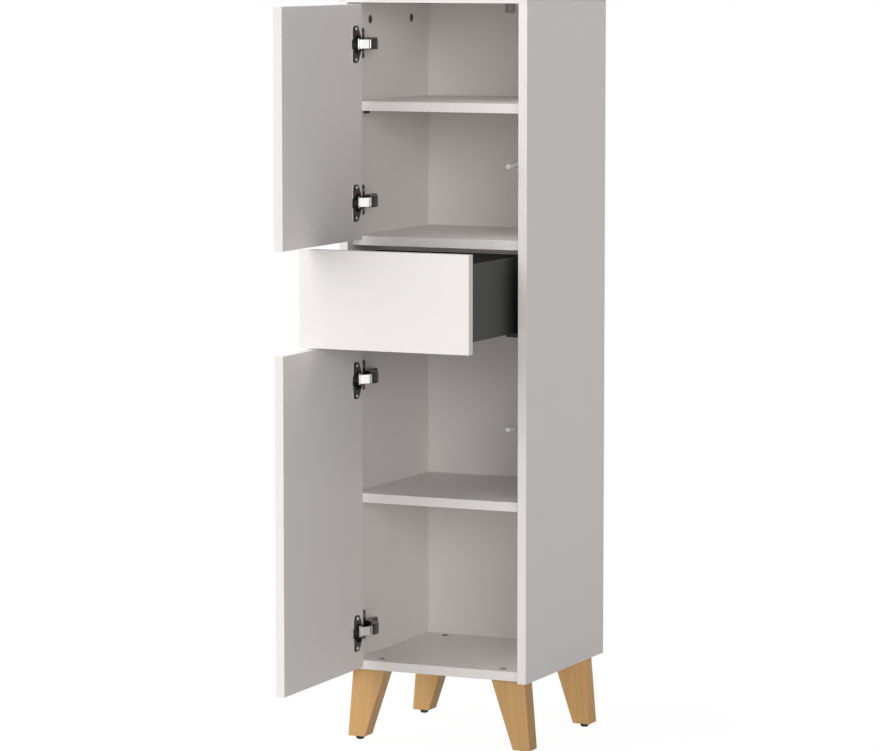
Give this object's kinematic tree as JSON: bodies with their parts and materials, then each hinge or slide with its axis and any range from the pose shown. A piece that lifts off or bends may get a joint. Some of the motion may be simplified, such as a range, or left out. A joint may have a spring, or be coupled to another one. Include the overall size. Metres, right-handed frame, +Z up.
{
  "type": "bathroom cabinet",
  "caption": "Tall narrow bathroom cabinet on splayed wooden legs, with an upper and a lower hinged door, a drawer between them, and shelves inside.",
  "frame": {"origin": "on the floor, under the middle of the carcass's width and depth", "axes": "+X to the right as one faces the doors, +Y to the back, +Z up; the doors stand open and the drawer out at rest"},
  "size_m": [0.35, 0.6582, 1.2945],
  "materials": {
    "melamine": "satin melamine film on chipboard, warm off-white",
    "back_board": "smooth off-white coated fibreboard",
    "oak": "clear matt lacquered light wood",
    "beech": "raw turned wood",
    "gunmetal": "dark nickel, satin",
    "nickel": "bright nickel",
    "zinc": "zinc plated",
    "anthracite": "anthracite powder coat, satin",
    "anthracite_board": "anthracite coated board, satin",
    "black_steel": "black steel with a matt coat",
    "black_plastic": "black plastic, matt",
    "grey_plastic": "light grey plastic, satin"
  },
  "bodies": {
    "carcass": {"left_side_panel": "melamine", "right_side_panel": "melamine", "top_panel": "melamine", "bottom_panel": "melamine", "divider_panel": "melamine", "back_panel": "back_board", "back_panel_screws": "zinc", "upper_shelf": "melamine", "lower_shelf": "melamine", "upper_shelf_supports": "gunmetal", "lower_shelf_supports": "gunmetal", "cam_locks": "gunmetal", "cam_bolts": "zinc", "wooden_dowels": "beech", "front_left_leg": "oak", "front_right_leg": "oak", "rear_left_leg": "oak", "rear_right_leg": "oak", "leg_bolts": "gunmetal", "leg_nuts": "zinc", "foot_sockets": "zinc", "wall_bracket": "zinc", "wall_bracket_screw": "zinc", "hinge_mounting_plates": "gunmetal", "hinge_plate_screws": "gunmetal", "hinge_arms": "gunmetal", "hinge_arm_pins": "nickel", "latch_housings": "grey_plastic", "latch_screws": "zinc", "left_cabinet_rail": "black_steel", "right_cabinet_rail": "black_steel", "rail_screws": "zinc"},
    "upper_links": {"upper_hinge_links": "nickel"},
    "upper_door": {"upper_door_panel": "melamine", "upper_hinge_cups": "gunmetal", "upper_cup_screws": "nickel", "upper_cup_pins": "nickel"},
    "lower_links": {"lower_hinge_links": "nickel"},
    "lower_door": {"lower_door_panel": "melamine", "lower_hinge_cups": "gunmetal", "lower_cup_screws": "nickel", "lower_cup_pins": "nickel"},
    "upper_plunger": {"upper_latch_plunger": "grey_plastic"},
    "lower_plunger": {"lower_latch_plunger": "grey_plastic"},
    "left_runner_middle": {"left_middle_rail": "zinc"},
    "right_runner_middle": {"right_middle_rail": "zinc"},
    "drawer": {"drawer_front": "melamine", "left_drawer_side": "anthracite", "right_drawer_side": "anthracite", "drawer_bottom": "anthracite_board", "drawer_back": "anthracite_board", "drawer_front_brackets": "black_steel", "drawer_screws": "zinc", "left_drawer_rail": "zinc", "right_drawer_rail": "zinc"},
    "front_left_leveller": {"front_left_foot": "black_plastic"},
    "front_right_leveller": {"front_right_foot": "black_plastic"},
    "rear_left_leveller": {"rear_left_foot": "black_plastic"},
    "rear_right_leveller": {"rear_right_foot": "black_plastic"}
  },
  "joints": [
    {"name": "upper_link_swing", "type": "hinge", "parent": "carcass", "child": "upper_links", "pos_m": [-0.121, -0.1595, 1.0758], "axis": [0, 0, 1], "range_deg": [-64.59, 4.37]},
    {"name": "upper_door_turn", "type": "hinge", "parent": "upper_links", "child": "upper_door", "pos_m": [-0.13266, -0.18286, 1.0758], "axis": [0, 0, 1], "range_deg": [-10.35, 153.57]},
    {"name": "upper_latch_push", "type": "slide", "parent": "carcass", "child": "upper_plunger", "axis": [0, 1, 0], "range_m": [-0.0026, 0.03831]},
    {"name": "lower_link_swing", "type": "hinge", "parent": "carcass", "child": "lower_links", "pos_m": [-0.121, -0.1595, 0.415], "axis": [0, 0, 1], "range_deg": [-64.59, 4.37]},
    {"name": "lower_door_turn", "type": "hinge", "parent": "lower_links", "child": "lower_door", "pos_m": [-0.13266, -0.18286, 0.415], "axis": [0, 0, 1], "range_deg": [-10.35, 153.57]},
    {"name": "lower_latch_push", "type": "slide", "parent": "carcass", "child": "lower_plunger", "axis": [0, 1, 0], "range_m": [-0.0026, 0.03831]},
    {"name": "drawer_slide", "type": "slide", "parent": "carcass", "child": "drawer", "axis": [0, -1, 0], "range_m": [-0.193, 0.032]},
    {"name": "left_runner_slide", "type": "slide", "parent": "carcass", "child": "left_runner_middle", "axis": [0, -1, 0], "range_m": [-0.0966, 0.0161]},
    {"name": "right_runner_slide", "type": "slide", "parent": "carcass", "child": "right_runner_middle", "axis": [0, -1, 0], "range_m": [-0.0966, 0.0161]},
    {"name": "front_left_foot_screw", "type": "slide", "parent": "carcass", "child": "front_left_leveller", "axis": [0, 0, -1], "range_m": [0, 0.008]},
    {"name": "front_right_foot_screw", "type": "slide", "parent": "carcass", "child": "front_right_leveller", "axis": [0, 0, -1], "range_m": [0, 0.008]},
    {"name": "rear_left_foot_screw", "type": "slide", "parent": "carcass", "child": "rear_left_leveller", "axis": [0, 0, -1], "range_m": [0, 0.008]},
    {"name": "rear_right_foot_screw", "type": "slide", "parent": "carcass", "child": "rear_right_leveller", "axis": [0, 0, -1], "range_m": [0, 0.008]}
  ],
  "couplings": [
    {"joint": "upper_link_swing", "follows": "upper_door_turn", "ratio": -0.42048},
    {"joint": "upper_latch_push", "follows": "upper_door_turn", "m_per_rad": 0.014289},
    {"joint": "lower_link_swing", "follows": "lower_door_turn", "ratio": -0.42048},
    {"joint": "lower_latch_push", "follows": "lower_door_turn", "m_per_rad": 0.014289},
    {"joint": "left_runner_slide", "follows": "drawer_slide", "ratio": 0.5},
    {"joint": "right_runner_slide", "follows": "drawer_slide", "ratio": 0.5}
  ]
}
